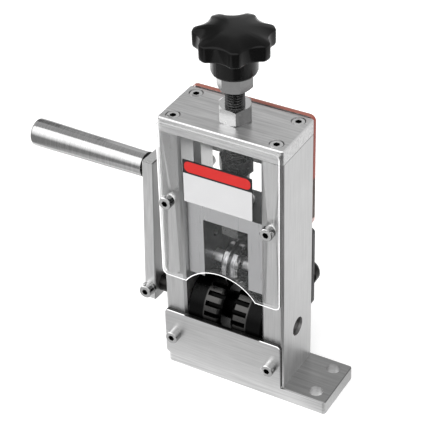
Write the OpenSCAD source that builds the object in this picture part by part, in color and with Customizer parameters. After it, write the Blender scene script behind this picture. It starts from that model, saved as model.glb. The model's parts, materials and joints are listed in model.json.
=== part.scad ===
// Hand crank wire stripper for the bench.
// A toothed roller on a crank shaft pulls a cable under a free turning disc blade.
// The blade hangs in a yoke that a star knob screw raises and lowers between two posts.
// Units are millimetres. X runs from the crank to the bench holes, Y to the back, Z up.
// The origin is on the underside of the base, midway between the posts.

/* [Frame] */
// Width across the two posts
body_w = 84; // [76:1:110]
// Depth of the posts and of both plates
body_d = 40; // [36:1:60]
// Thickness of each post
post_t = 15; // [14:0.5:20]
// Height of each post
post_h = 168.5; // [164:0.5:190]
// Chamfer on the upright edges of the posts
post_chamfer = 1.6; // [0.5:0.1:2.5]
// Thickness of the base plate
base_t = 10; // [9:0.5:14]
// Length of the base past the right post
base_tail = 29.4; // [24:0.2:45]
// Thickness of the top plate
top_t = 10; // [9:0.5:14]
// Corner radius of the base and the top plate
plate_round = 2; // [1:0.5:3]
// Diameter of the bench holes
bench_hole_d = 9; // [6:0.5:10]
// Distance between the bench holes
bench_hole_pitch = 24.4; // [18:0.2:26]
// Distance from the end of the base to the bench holes
bench_hole_inset = 9.9; // [7:0.1:14]

/* [Drive] */
// Diameter of the crank shaft
shaft_d = 12; // [10:0.5:12]
// Height of the crank shaft above the underside of the base
shaft_z = 46.5; // [42:0.5:50]
// Radius of the plain bands of the drive roller
roller_r = 19.8; // [18:0.1:21]
// Radius of the drive roller at its waist
waist_r = 9; // [8:0.5:11]
// Width of the waist
waist_w = 7; // [6:0.5:8]
// Radius of the toothed drums at their inner faces, where their bevel starts
shoulder_r = 17.6; // [16:0.1:18]
// Width of that bevel
bevel_w = 2.5; // [1.5:0.5:4]
// Width of each plain band of the drive roller
band_w = 11.5; // [9:0.5:13]
// Number of teeth on each drum of the drive roller
teeth = 18; // [12:1:20]
// Depth of the gaps between the teeth
tooth_depth = 2.8; // [1.5:0.1:3]
// Width of the gaps between the teeth
tooth_gap = 3.4; // [2:0.1:4]

/* [Blade] */
// Radius of the disc blade
blade_r = 16; // [15:0.5:18]
// Thickness of the disc blade
blade_t = 2; // [1.5:0.1:3]
// Radius of the flanges that clamp the blade
flange_r = 13; // [12:0.5:14]
// Thickness of each flange
flange_t = 4.8; // [4:0.1:6]
// Diameter of the blade axle
axle_d = 6; // [5:0.5:6]
// Gap between the blade and the roller's waist at rest
cut_gap = 11.5; // [11:0.5:13]

/* [Yoke] */
// Width of the window between the legs of the yoke
window_w = 31; // [28:1:34]
// Height of the window above the blade axle
window_h = 36; // [35:1:38]
// Length of the legs below the blade axle
leg_below = 7; // [6:0.5:8]
// Height of the bridge above the window
bridge_h = 10; // [9:0.5:12]
// Depth of the yoke
yoke_d = 30; // [26:1:32]
// Width of the grooves in the posts
groove_w = 9; // [7:0.5:10]
// Depth of the grooves in the posts
groove_deep = 5; // [4:0.5:6]
// Sliding gap between the yoke and the posts
slide_gap = 0.2; // [0.15:0.05:0.3]
// Travel of the yoke below its rest height
travel_down = 3.2; // [2:0.1:3.2]

/* [Feed screw] */
// Diameter of the feed screw
screw_d = 12; // [10:0.5:12]
// Width across the flats of the nuts on the feed screw
nut_af = 19; // [17:0.5:20]
// Height of the nuts on the feed screw
nut_h = 10; // [8:0.5:10]
// Diameter of the sleeve between the yoke and the nut above it
sleeve_d = 16; // [15:0.5:18]
// Length of the sleeve between the yoke and the nut above it
sleeve_l = 22; // [20:0.5:24]
// Length of thread that shows under the jam nut at rest
thread_show = 11.5; // [10:0.5:20]
// Radius of the star knob over its lobes
knob_r = 24.5; // [22:0.5:28]
// Number of lobes of the star knob
knob_lobes = 7; // [5:1:8]
// Height of the lobed rim of the star knob
rim_h = 10.5; // [9:0.5:14]
// Rise of the domed top of the star knob
dome_h = 3.5; // [2:0.5:5]
// Radius of the hub under the star knob
hub_r = 14; // [12.5:0.5:15]
// Height of the hub under the star knob
hub_h = 15; // [12:0.5:18]

/* [Crank] */
// Distance from the crank shaft to the handle
crank_r = 85.8; // [60:0.2:110]
// Angle in degrees that the crank leans to the back at rest
crank_lean = 2.9; // [0:0.1:6]
// Thickness of the crank arm, along the shaft
arm_t = 8; // [7:0.5:12]
// Width of the crank arm
arm_w = 20; // [18:0.5:24]
// Length of the arm past the shaft and past the handle
arm_end = 9; // [9:0.5:14]
// Gap between the left post and the crank arm
arm_gap = 14.2; // [10:0.2:20]
// Length of the handle
grip_l = 83.4; // [60:0.2:110]
// Radius of the handle at its far end
grip_far_r = 9.2; // [9:0.1:12]
// Radius of the handle at its waist
grip_waist_r = 8.6; // [7:0.1:9]
// Radius of the handle beside the arm
grip_near_r = 8.2; // [7:0.1:10]
// Diameter of the bolt that the handle turns on
grip_bolt_d = 8; // [6:0.5:8]

/* [Covers] */
// Thickness of the clear covers, the front guard and the wire guide
cover_t = 3; // [2:0.5:4]
// Distance from each side of the body to the edge of the covers, the guard and the wire guide
cover_inset = 0.4; // [0.2:0.1:1.5]
// Height of the front cover
cover_h = 114; // [110:1:116]
// Corner radius of the covers
cover_round = 4; // [2:0.5:6]
// Width of the arch under the front cover
arch_w = 49; // [40:1:52]
// Height of the arch under the front cover
arch_h = 13; // [8:0.5:16]
// Height of the front guard
guard_h = 35.5; // [30:0.5:36]
// Corner radius of the front guard
guard_round = 3; // [1:0.5:5]
// Height of the rear cover
rear_h = 78.5; // [70:0.5:79]
// Width of the label on the front cover
label_w = 47; // [30:1:48]
// Height of the label on the front cover
label_h = 30.3; // [20:0.1:34]
// Height of the label on the rear cover
rear_label_h = 44; // [30:1:50]

/* [Wire guide] */
// Height of the wire guide plate
guide_h = 58.5; // [54:0.5:60]
// Thickness of the wire guide plate
guide_t = 4; // [3:0.5:5]
// Diameter of the round hole that the cable enters by
guide_hole_d = 12; // [8:0.5:13]
// Diameter of the small hole above it
small_hole_d = 8; // [4:0.5:9]
// Distance between the two holes of the wire guide
guide_hole_pitch = 13; // [12:0.5:14]
// Travel of the wire guide above its rest height
guide_up = 3; // [1:0.5:3]
// Diameter of the clamp knobs of the wire guide
clamp_knob_d = 16; // [12:0.5:17]
// Height of the clamp knobs of the wire guide
clamp_knob_h = 11; // [8:0.5:12]

/* [Screws] */
// Diameter of the socket screws
bolt_d = 5; // [4.5:0.5:6]
// Head diameter of the socket screws
bolt_head_d = 8.5; // [8:0.5:10.5]
// Head height of the socket screws
bolt_head_h = 5; // [4:0.5:6]
// Diameter of the studs of the clamp knobs
stud_d = 5; // [4:0.5:6]

/* [Hidden] */
$fn = 64;

// Clearances
run_gap = 0.05;
seat_gap = 0.03;
turn_gap = 0.1;
hole_gap = 0.2;
over = 1;

// Frame
inner_x = body_w / 2 - post_t;
post_x = body_w / 2 - post_t / 2;
top_z = base_t + post_h;
roof_z = top_z + top_t;
tail_x = body_w / 2 + base_tail;
plate_edge = 0.6;
screw_y = 13.7;
recess_d = bolt_head_d + 3 * hole_gap;
recess_h = bolt_head_h + 2 * hole_gap;
bolt_depth = 12;
sheet_depth = 10;
socket_share = 0.5;
socket_deep_share = 0.55;
head_edge = 0.4;

// Bushes, shaft and roller
bush_d = 18;
bush_l = 12;
shaft_end = 2;
shaft_edge = 0.8;
shaft_flat = 0.6;
washer_t = inner_x - roller_half() - 2 * turn_gap;
key_w = 4;
key_l = 30;
shaft_bore_gap = 0.3;
roller_edge = 0.8;
gap_floor_share = 0.6;

// Blade and yoke
axle_z = shaft_z + waist_r + cut_gap + blade_r;
leg_z = axle_z - leg_below;
window_z = axle_z + window_h;
bridge_z = window_z + bridge_h;
bush_wall = 2;
blade_bush_d = axle_d + 2 * bush_wall;
hub_half = blade_t / 2 + flange_t;
flange_edge = 1.2;
blade_land = 0.4;
bevel_deep = 3;
spacer_wall = 1.1;
spacer_d = axle_d + 2 * spacer_wall;
flange_screw_d = 3;
flange_head_d = 5.5;
flange_head_h = 3;
flange_screw_r = 8.4;
flange_screw_count = 3;
lock_hole_d = 5;
lock_hole_up = 16.5;
yoke_edge = 0.6;
axle_inset = 1.8;
groove_end_z = leg_z - travel_down - over / 2;

// Feed screw
ring_t = 1;
ring_d = 22;
nut_edge = 0.9;
screw_tail = 3.5;
screw_in_knob = 12;
screw_edge = 1;
jam_turn = 15.5;
yoke_nut_turn = 8.5;
knob_turn = -60;
knob_z = roof_z + nut_h + thread_show + nut_h;
sleeve_z = bridge_z + turn_gap + ring_t;
yoke_nut_z = sleeve_z + sleeve_l + turn_gap;
end_nut_z = window_z - turn_gap - ring_t - turn_gap - nut_h;
screw_low_z = end_nut_z - screw_tail;
rim_z = knob_z + hub_h;
scallop_r = 8.6;
scallop_out = 5.2;
knob_edge = 2;

// Crank and handle
arm_right_x = -(body_w / 2 + arm_gap);
arm_left_x = arm_right_x - arm_t;
arm_edge = 0.6;
grip_washer_t = 2.2;
grip_washer_r = 8.4;
grip_z = shaft_z + crank_r;
grip_near_x = arm_left_x - grip_washer_t - turn_gap;
grip_far_x = grip_near_x - grip_l;
grip_waist_share = 0.41;
grip_round = 2.2;
grip_steps = 16;
round_steps = 6;
grip_head_d = 13;
grip_head_h = 8;
grip_head_deep = 9;
clamp_washer_t = 1.6;
clamp_washer_d = 9.6;

// Covers and guide
front_y = -body_d / 2;
back_y = body_d / 2;
cover_z = roof_z - cover_h - over / 2;
cover_screw_z = 132.5;
guard_screw_z = 27.3;
rear_z = roof_z + over - rear_h;
cover_w = body_w - 2 * cover_inset;
sheet_edge_share = 0.12;
label_t = 0.3;
label_z = 151;
label_round = 0.8;
rear_label_z = rear_z + rear_h - rear_label_h / 2 - 2 * over;
rear_label_w = cover_w - 2 * over;
guide_z = rear_z - guide_up - over - guide_h;
guide_hole_share = 0.79;
guide_hole_z = shaft_z + waist_r + cut_gap * guide_hole_share;
clamp_knob_z = 68;
slot_w = stud_d + 3 * hole_gap;
guide_down = guide_hole_pitch;

// Half the length of the drive roller
function roller_half() = body_w / 2 - post_t - over;

// Square with its four corners cut at 45 degrees, centred
module cut_rect(w, d, c) {
    x = w / 2;
    y = d / 2;
    polygon([
        [x - c, -y], [x, c - y], [x, y - c], [x - c, y],
        [c - x, y], [-x, y - c], [-x, c - y], [c - x, -y]
    ]);
}

// Cylinder along X from x1 to x2
module bar_x(x1, x2, r) {
    translate([x1, 0, 0]) rotate([0, 90, 0]) cylinder(h = x2 - x1, r = r);
}

// Cylinder along Y from y1 to y2
module bar_y(y1, y2, r) {
    translate([0, y1, 0]) rotate([-90, 0, 0]) cylinder(h = y2 - y1, r = r);
}

// Leans its children to the back about the crank shaft
module leaning() {
    translate([0, 0, shaft_z]) rotate([-crank_lean, 0, 0]) translate([0, 0, -shaft_z]) children();
}

// Flat ring that stands on z = 0
module ring(outer, inner, h) {
    difference() {
        cylinder(h = h, d = outer);
        translate([0, 0, -over]) cylinder(h = h + 2 * over, d = inner);
    }
}

// Hexagon nut that stands on z = 0, its corners turned down by a cone on both faces
module hex_nut(af, h, bore) {
    corner_r = af / sqrt(3);
    difference() {
        intersection() {
            cylinder(h = h, r = corner_r, $fn = 6);
            rotate_extrude() polygon([
                [0, 0], [af / 2, 0], [corner_r + over / 4, nut_edge], [corner_r + over / 4, h - nut_edge],
                [af / 2, h], [0, h]
            ]);
        }
        translate([0, 0, -over]) cylinder(h = h + 2 * over, d = bore);
    }
}

// Socket head screw: the shank hangs below z = 0 and the head stands on it
module socket_screw(d, head_d, head_h, len) {
    difference() {
        rotate_extrude() polygon([
            [0, -len], [d / 2 - head_edge, -len], [d / 2, head_edge - len], [d / 2, 0],
            [head_d / 2, 0], [head_d / 2, head_h - head_edge], [head_d / 2 - head_edge, head_h], [0, head_h]
        ]);
        translate([0, 0, head_h * (1 - socket_deep_share)])
            cylinder(h = head_h, d = head_d * socket_share, $fn = 6);
    }
}

// Places the child at the four screw positions over the posts
module at_post_screws() {
    for (sx = [-1, 1], sy = [-1, 1]) translate([sx * post_x, sy * screw_y, 0]) children();
}

// Plate with rounded corners and a chamfer along its upper and lower rims
module slab(w, d, t, r, edge) {
    translate([0, 0, t / 2]) union() {
        rotate([90, 0, 90]) linear_extrude(w - 2 * r, center = true) cut_rect(d, t, edge);
        rotate([90, 0, 0]) linear_extrude(d - 2 * r, center = true) cut_rect(w, t, edge);
        for (sx = [-1, 1], sy = [-1, 1]) translate([sx * (w / 2 - r), sy * (d / 2 - r), -t / 2])
            rotate_extrude() polygon([[0, 0], [r - edge, 0], [r, edge], [r, t - edge], [r - edge, t], [0, t]]);
    }
}

module base_plate() {
    length = body_w + base_tail;
    color("silver") difference() {
        translate([base_tail / 2, 0, 0]) slab(length, body_d, base_t, plate_round, plate_edge);
        for (sy = [-1, 1]) translate([tail_x - bench_hole_inset, sy * bench_hole_pitch / 2, -over])
            cylinder(h = base_t + 2 * over, d = bench_hole_d);
        at_post_screws() {
            translate([0, 0, -over]) cylinder(h = recess_h + over, d = recess_d);
            translate([0, 0, -over]) cylinder(h = base_t + 2 * over, d = bolt_d + hole_gap);
        }
    }
}

module base_screws() {
    color("dimgray") at_post_screws() translate([0, 0, recess_h]) mirror([0, 0, 1])
        socket_screw(bolt_d, bolt_head_d, bolt_head_h, base_t - recess_h + bolt_depth);
}

// One post, at x = 0 with its inner face towards -X
module post(bearing_through) {
    difference() {
        translate([0, 0, base_t]) linear_extrude(post_h) cut_rect(post_t, body_d, post_chamfer);
        translate([-post_t / 2 - over, -groove_w / 2, groove_end_z])
            cube([groove_deep + over, groove_w, roof_z]);
        translate([0, 0, groove_end_z]) bar_x(-post_t / 2 - over, groove_deep - post_t / 2, groove_w / 2);
        translate([0, 0, shaft_z]) {
            bar_x(-post_t / 2 - over, bush_l - post_t / 2, bush_d / 2 + seat_gap);
            bar_x(-post_t, post_t, shaft_d / 2 + shaft_bore_gap);
        }
        for (sy = [-1, 1]) translate([0, sy * screw_y, 0]) {
            translate([0, 0, base_t - over])
                cylinder(h = bolt_depth + 2 * over, d = bolt_d + 2 * seat_gap);
            translate([0, 0, top_z - bolt_depth - over])
                cylinder(h = bolt_depth + 2 * over, d = bolt_d + 2 * seat_gap);
        }
        for (z = [cover_screw_z, guard_screw_z]) translate([0, 0, z])
            bar_y(front_y - over, front_y + sheet_depth + over, bolt_d / 2 + seat_gap);
        translate([0, 0, cover_screw_z]) bar_y(back_y - sheet_depth - over, back_y + over, bolt_d / 2 + seat_gap);
        translate([0, 0, clamp_knob_z]) bar_y(back_y - sheet_depth - over, back_y + over, stud_d / 2 + run_gap);
    }
}

module left_post() {
    color("gainsboro") translate([-post_x, 0, 0]) mirror([1, 0, 0]) post();
}

module right_post() {
    color("gainsboro") translate([post_x, 0, 0]) post();
}

module top_plate() {
    color("silver") difference() {
        translate([0, 0, top_z]) slab(body_w, body_d, top_t, plate_round, plate_edge);
        at_post_screws() {
            translate([0, 0, roof_z - recess_h]) cylinder(h = recess_h + over, d = recess_d);
            translate([0, 0, top_z - over]) cylinder(h = top_t + 2 * over, d = bolt_d + hole_gap);
        }
        translate([0, 0, top_z - over]) cylinder(h = top_t + 2 * over, d = screw_d + 2 * run_gap);
    }
}

module top_screws() {
    color("dimgray") at_post_screws() translate([0, 0, roof_z - recess_h])
        socket_screw(bolt_d, bolt_head_d, bolt_head_h, top_t - recess_h + bolt_depth);
}

module top_nut() {
    color("lightgray") translate([0, 0, roof_z]) hex_nut(nut_af, nut_h, screw_d + 2 * run_gap);
}

// Plain bush for the shaft, pressed into the post from its inner face
module shaft_bush() {
    rotate([0, 90, 0]) ring(bush_d, shaft_d + 2 * run_gap, bush_l);
}

module left_bush() {
    color("peru") translate([-inner_x, 0, shaft_z]) mirror([1, 0, 0]) shaft_bush();
}

module right_bush() {
    color("peru") translate([inner_x, 0, shaft_z]) shaft_bush();
}

// Sheet with rounded corners that stands upright: its near face is at y, its lower edge at z
module sheet(w, h, t, r, y, z) {
    translate([0, y + t, z + h / 2]) rotate([90, 0, 0]) slab(w, h, t, r, t * sheet_edge_share);
}

// Through holes for two small screws at the height z, one over each post
module sheet_holes(z) {
    for (sx = [-1, 1]) translate([sx * post_x, 0, z])
        bar_y(-body_d, body_d, bolt_d / 2 + hole_gap);
}

// Two small screws at the height z, with their heads in front
module front_screws(z) {
    for (sx = [-1, 1]) translate([sx * post_x, front_y - cover_t, z]) rotate([90, 0, 0])
        socket_screw(bolt_d, bolt_head_d, bolt_head_h, cover_t + sheet_depth);
}

module front_cover() {
    arch_r = (arch_w * arch_w / 4 + arch_h * arch_h) / (2 * arch_h);
    color([0.85, 0.9, 0.92, 0.35]) difference() {
        sheet(cover_w, cover_h, cover_t, cover_round, front_y - cover_t, cover_z);
        translate([0, 0, cover_z + arch_h - arch_r]) bar_y(front_y - cover_t - over, front_y + over, arch_r);
        sheet_holes(cover_screw_z);
    }
}

module cover_screws() {
    color("gray") front_screws(cover_screw_z);
}

module cover_label() {
    color("white") sheet(label_w, label_h, label_t, label_round, front_y - cover_t - label_t, label_z - label_h / 2);
}

module front_guard() {
    color("silver") difference() {
        sheet(cover_w, guard_h, cover_t, guard_round, front_y - cover_t, base_t);
        sheet_holes(guard_screw_z);
    }
}

module guard_screws() {
    color("gray") front_screws(guard_screw_z);
}

module rear_cover() {
    color([0.85, 0.9, 0.92, 0.35]) difference() {
        sheet(cover_w, rear_h, cover_t, cover_round, back_y, rear_z);
        sheet_holes(cover_screw_z);
    }
}

module rear_cover_screws() {
    color("gray") mirror([0, 1, 0]) front_screws(cover_screw_z);
}

module rear_label() {
    color("firebrick") sheet(
        rear_label_w, rear_label_h, label_t, label_round, back_y + cover_t, rear_label_z - rear_label_h / 2
    );
}

module slider_yoke() {
    half = inner_x - slide_gap;
    tongue = inner_x + groove_deep - slide_gap;
    height = bridge_z - leg_z;
    color("lightgray") difference() {
        union() {
            translate([0, 0, leg_z]) linear_extrude(height) cut_rect(2 * half, yoke_d, yoke_edge);
            translate([-tongue, slide_gap - groove_w / 2, leg_z])
                cube([2 * tongue, groove_w - 2 * slide_gap, height]);
        }
        translate([-window_w / 2, -yoke_d, leg_z - over])
            cube([window_w, 2 * yoke_d, window_z - leg_z + over]);
        translate([0, 0, window_z - over]) cylinder(h = bridge_h + 2 * over, d = screw_d + 2 * run_gap);
        translate([0, 0, axle_z]) bar_x(-body_w, body_w, axle_d / 2 + seat_gap);
        translate([0, 0, axle_z + lock_hole_up]) bar_x(-body_w, body_w, lock_hole_d / 2);
    }
}

module blade_axle() {
    half = inner_x - slide_gap - axle_inset;
    color("gainsboro") translate([0, 0, axle_z]) bar_x(-half, half, axle_d / 2);
}

// Sleeves that keep the blade midway between the legs
module blade_spacers() {
    length = window_w / 2 - hub_half - turn_gap;
    color("gainsboro") for (sx = [0, 1]) mirror([sx, 0, 0])
        translate([hub_half + turn_gap, 0, axle_z]) rotate([0, 90, 0])
            ring(spacer_d, axle_d + 2 * seat_gap, length);
}

module cutting_blade() {
    bore_r = blade_bush_d / 2 + seat_gap;
    color("dimgray") translate([0, 0, axle_z]) rotate([0, 90, 0]) difference() {
        rotate_extrude() polygon([
            [bore_r, -blade_t / 2], [blade_r - bevel_deep, -blade_t / 2], [blade_r, -blade_land / 2],
            [blade_r, blade_land / 2], [blade_r - bevel_deep, blade_t / 2], [bore_r, blade_t / 2]
        ]);
        for (k = [0 : flange_screw_count - 1]) rotate([0, 0, k * 360 / flange_screw_count])
            translate([flange_screw_r, 0, -blade_t]) cylinder(h = 2 * blade_t, d = flange_screw_d + 2 * seat_gap);
    }
}

// The flange on the +X side; the screws' heads lie in it when sunk is true
module blade_flange(sunk) {
    bore_r = blade_bush_d / 2 + seat_gap;
    difference() {
        rotate_extrude() polygon([
            [bore_r, blade_t / 2], [flange_r, blade_t / 2], [flange_r, hub_half - flange_edge],
            [flange_r - flange_edge, hub_half], [bore_r, hub_half]
        ]);
        for (k = [0 : flange_screw_count - 1]) rotate([0, 0, k * 360 / flange_screw_count])
            translate([flange_screw_r, 0, 0]) {
                cylinder(h = hub_half + over, d = flange_screw_d + 2 * seat_gap);
                if (sunk) translate([0, 0, hub_half - flange_head_h])
                    cylinder(h = flange_head_h + over, d = flange_head_d + hole_gap);
            }
    }
}

module blade_flanges() {
    color("darkgray") translate([0, 0, axle_z]) rotate([0, 90, 0]) {
        blade_flange(true);
        mirror([0, 0, 1]) blade_flange(false);
    }
}

module blade_bush() {
    color("peru") translate([-hub_half, 0, axle_z]) rotate([0, 90, 0])
        ring(blade_bush_d, axle_d + 2 * run_gap, 2 * hub_half);
}

module flange_screws() {
    color("dimgray") translate([0, 0, axle_z]) rotate([0, 90, 0])
        for (k = [0 : flange_screw_count - 1]) rotate([0, 0, k * 360 / flange_screw_count])
            translate([flange_screw_r, 0, hub_half - flange_head_h]) socket_screw(
                flange_screw_d, flange_head_d, flange_head_h - hole_gap,
                2 * hub_half - flange_head_h - hole_gap
            );
}

module feed_screw() {
    length = knob_z + screw_in_knob - screw_low_z;
    color("dimgray") translate([0, 0, screw_low_z]) rotate_extrude() polygon([
        [0, 0], [screw_d / 2 - screw_edge, 0], [screw_d / 2, screw_edge], [screw_d / 2, length - screw_edge],
        [screw_d / 2 - screw_edge, length], [0, length]
    ]);
}

// Rings that the bridge of the yoke turns between
module yoke_washers() {
    bore = screw_d + 2 * seat_gap;
    color("silver") {
        translate([0, 0, bridge_z + turn_gap]) ring(ring_d, bore, ring_t);
        translate([0, 0, window_z - turn_gap - ring_t]) ring(ring_d, bore, ring_t);
    }
}

module yoke_sleeve() {
    color("dimgray") translate([0, 0, sleeve_z]) ring(sleeve_d, screw_d + 2 * seat_gap, sleeve_l);
}

module yoke_nut() {
    color("dimgray") translate([0, 0, yoke_nut_z - turn_gap]) rotate([0, 0, yoke_nut_turn])
        hex_nut(nut_af, nut_h, screw_d + 2 * seat_gap);
}

module end_nut() {
    color("dimgray") translate([0, 0, end_nut_z + turn_gap]) hex_nut(nut_af, nut_h, screw_d + 2 * seat_gap);
}

module jam_nut() {
    color("lightgray") translate([0, 0, knob_z - nut_h]) rotate([0, 0, jam_turn])
        hex_nut(nut_af, nut_h, screw_d + 2 * seat_gap);
}

module star_knob() {
    dome_r = (knob_r * knob_r + dome_h * dome_h) / (2 * dome_h);
    color([0.09, 0.09, 0.1]) difference() {
        union() {
            intersection() {
                translate([0, 0, rim_z]) linear_extrude(rim_h + dome_h) difference() {
                    circle(knob_r);
                    for (k = [0 : knob_lobes - 1]) rotate([0, 0, knob_turn + (k + 1 / 2) * 360 / knob_lobes])
                        translate([knob_r + scallop_out, 0]) circle(scallop_r);
                }
                translate([0, 0, rim_z + rim_h + dome_h - dome_r]) sphere(dome_r, $fn = 96);
            }
            translate([0, 0, knob_z]) rotate_extrude() union() {
                translate([0, knob_edge]) square([hub_r, hub_h - knob_edge + over]);
                square([hub_r - knob_edge, hub_h]);
                translate([hub_r - knob_edge, knob_edge]) circle(knob_edge);
            }
        }
        translate([0, 0, knob_z - over]) cylinder(h = screw_in_knob + over, d = screw_d + 2 * seat_gap);
    }
}

module drive_shaft() {
    right = body_w / 2 - shaft_end;
    color([0.13, 0.13, 0.14]) translate([0, 0, shaft_z]) difference() {
        rotate([0, 90, 0]) rotate_extrude() polygon([
            [0, arm_left_x], [shaft_d / 2 - shaft_edge, arm_left_x], [shaft_d / 2, arm_left_x + shaft_edge],
            [shaft_d / 2, right - shaft_edge], [shaft_d / 2 - shaft_edge, right], [0, right]
        ]);
        rotate([-crank_lean, 0, 0]) translate([arm_left_x - over, -shaft_d, -shaft_d])
            cube([arm_t + over, shaft_d / 2 + shaft_flat, 2 * shaft_d]);
        translate([-key_l / 2, -key_w / 2, shaft_d / 2 - key_w / 2]) cube([key_l, key_w, key_w]);
    }
}

// Gap between two teeth, narrower at its floor, from x = 0 to the given length
module tooth_space(length) {
    half = tooth_gap / 2;
    floor_half = half * gap_floor_share;
    rotate([90, 0, 90]) linear_extrude(length) polygon([
        [-floor_half, roller_r - tooth_depth], [floor_half, roller_r - tooth_depth], [half, roller_r],
        [half, roller_r + over], [-half, roller_r + over], [-half, roller_r]
    ]);
}

// Two toothed drums with a waist between them and a plain band at each end
module drive_roller() {
    half = roller_half();
    inner = waist_w / 2;
    outer = half - band_w;
    bore_r = shaft_d / 2 + seat_gap;
    color([0.12, 0.12, 0.13]) translate([0, 0, shaft_z]) difference() {
        rotate([0, 90, 0]) rotate_extrude() polygon([
            [bore_r, -half], [roller_r - roller_edge, -half], [roller_r, roller_edge - half],
            [roller_r, -inner - bevel_w], [shoulder_r, -inner], [waist_r, -inner],
            [waist_r, inner], [shoulder_r, inner], [roller_r, inner + bevel_w],
            [roller_r, half - roller_edge], [roller_r - roller_edge, half], [bore_r, half]
        ]);
        for (sx = [0, 1], k = [0 : teeth - 1]) mirror([sx, 0, 0]) rotate([k * 360 / teeth, 0, 0])
            translate([inner - over, 0, 0]) tooth_space(outer - inner + over);
        translate([-half - over, -key_w / 2 - seat_gap, 0])
            cube([2 * half + 2 * over, key_w + 2 * seat_gap, shaft_d / 2 + key_w / 2 + seat_gap]);
    }
}

module roller_key() {
    color("gray") translate([-key_l / 2 + seat_gap, seat_gap - key_w / 2, shaft_z + shaft_d / 2 - key_w / 2])
        cube([key_l - 2 * seat_gap, key_w - 2 * seat_gap, key_w]);
}

module thrust_washers() {
    color("peru") for (sx = [0, 1]) mirror([sx, 0, 0])
        translate([roller_half() + turn_gap, 0, shaft_z]) rotate([0, 90, 0])
            ring(bush_d, shaft_d + 2 * seat_gap, washer_t);
}

module crank_arm() {
    length = crank_r + 2 * arm_end;
    color("silver") leaning() difference() {
        translate([arm_left_x, 0, shaft_z - arm_end + length / 2]) rotate([90, 0, 90])
            slab(arm_w, length, arm_t, 2 * arm_edge, arm_edge);
        translate([0, 0, shaft_z]) {
            difference() {
                bar_x(arm_left_x - over, arm_right_x + over, shaft_d / 2 + seat_gap);
                translate([arm_left_x - 2 * over, -shaft_d, -shaft_d])
                    cube([arm_t + 4 * over, shaft_d / 2 + shaft_flat - seat_gap, 2 * shaft_d]);
            }
            translate([arm_left_x + arm_t / 2, 0, 0]) bar_y(-arm_w, 0, bolt_d / 2 + seat_gap);
        }
        translate([0, 0, grip_z]) bar_x(arm_left_x - over, arm_right_x + over, grip_bolt_d / 2 + seat_gap);
    }
}

// The clamp screw presses on the flat of the shaft
module clamp_screw() {
    head_y = -arm_w / 2 - clamp_washer_t;
    color("gray") leaning() translate([arm_left_x + arm_t / 2, head_y, shaft_z]) rotate([90, 0, 0])
        socket_screw(bolt_d, bolt_head_d, bolt_head_h, shaft_flat - shaft_d / 2 - head_y - seat_gap);
}

module clamp_washer() {
    color("gray") leaning() translate([arm_left_x + arm_t / 2, -arm_w / 2, shaft_z]) rotate([90, 0, 0])
        ring(clamp_washer_d, bolt_d + 2 * seat_gap, clamp_washer_t);
}

// Radius of the handle at a share of its length, from the arm to the far end
function grip_r(share) = share < grip_waist_share
    ? grip_waist_r + (grip_near_r - grip_waist_r) * (1 + cos(180 * share / grip_waist_share)) / 2
    : grip_waist_r + (grip_far_r - grip_waist_r)
        * (1 - cos(180 * (share - grip_waist_share) / (1 - grip_waist_share))) / 2;

module handle_grip() {
    body_l = grip_l - grip_round;
    side = [for (k = [0 : grip_steps]) [grip_r(k / grip_steps), k / grip_steps * body_l]];
    cap = [for (k = [1 : round_steps]) let (a = 90 * k / round_steps)
        [grip_far_r - grip_round * (1 - cos(a)), body_l + grip_round * sin(a)]];
    color("gainsboro") leaning() translate([grip_near_x, 0, grip_z]) rotate([0, -90, 0]) difference() {
        rotate_extrude() polygon(concat([[0, 0]], side, cap, [[0, grip_l]]));
        translate([0, 0, -over]) cylinder(h = grip_l + 2 * over, r = grip_bolt_d / 2 + run_gap);
        translate([0, 0, grip_l - grip_head_deep]) cylinder(h = grip_head_deep + over, d = grip_head_d + 2 * hole_gap);
    }
}

module handle_bolt() {
    seat_x = grip_far_x + grip_head_deep - turn_gap;
    color("dimgray") leaning() translate([seat_x, 0, grip_z]) rotate([0, -90, 0])
        socket_screw(grip_bolt_d, grip_head_d, grip_head_h, arm_right_x - seat_x);
}

module handle_washer() {
    color([0.1, 0.1, 0.1]) leaning() translate([arm_left_x, 0, grip_z]) rotate([0, -90, 0])
        ring(2 * grip_washer_r, grip_bolt_d + 2 * seat_gap, grip_washer_t);
}

module wire_guide() {
    slot_low = clamp_knob_z - guide_up;
    slot_high = clamp_knob_z + guide_down;
    color([0.1, 0.1, 0.11]) difference() {
        sheet(cover_w, guide_h, guide_t, guard_round, back_y, guide_z);
        translate([0, 0, guide_hole_z]) bar_y(0, body_d, guide_hole_d / 2);
        translate([0, 0, guide_hole_z + guide_hole_pitch]) bar_y(0, body_d, small_hole_d / 2);
        for (sx = [-1, 1]) translate([sx * post_x, 0, 0]) {
            translate([0, 0, slot_low]) bar_y(0, body_d, slot_w / 2);
            translate([0, 0, slot_high]) bar_y(0, body_d, slot_w / 2);
            translate([-slot_w / 2, 0, slot_low]) cube([slot_w, body_d, slot_high - slot_low]);
        }
    }
}

// Domed clamp knob with its stud, at x = 0
module guide_knob() {
    head_y = back_y + guide_t + turn_gap;
    ball_r = (clamp_knob_d * clamp_knob_d / 4 + clamp_knob_h * clamp_knob_h) / (2 * clamp_knob_h);
    union() {
        intersection() {
            bar_y(head_y, head_y + clamp_knob_h, clamp_knob_d / 2);
            translate([0, head_y + clamp_knob_h - ball_r, 0]) rotate([-90, 0, 0]) sphere(ball_r);
        }
        bar_y(back_y - sheet_depth, head_y + over, stud_d / 2);
    }
}

module guide_knob_left() {
    color([0.08, 0.08, 0.08]) translate([-post_x, 0, clamp_knob_z]) guide_knob();
}

module guide_knob_right() {
    color([0.08, 0.08, 0.08]) translate([post_x, 0, clamp_knob_z]) guide_knob();
}

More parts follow.
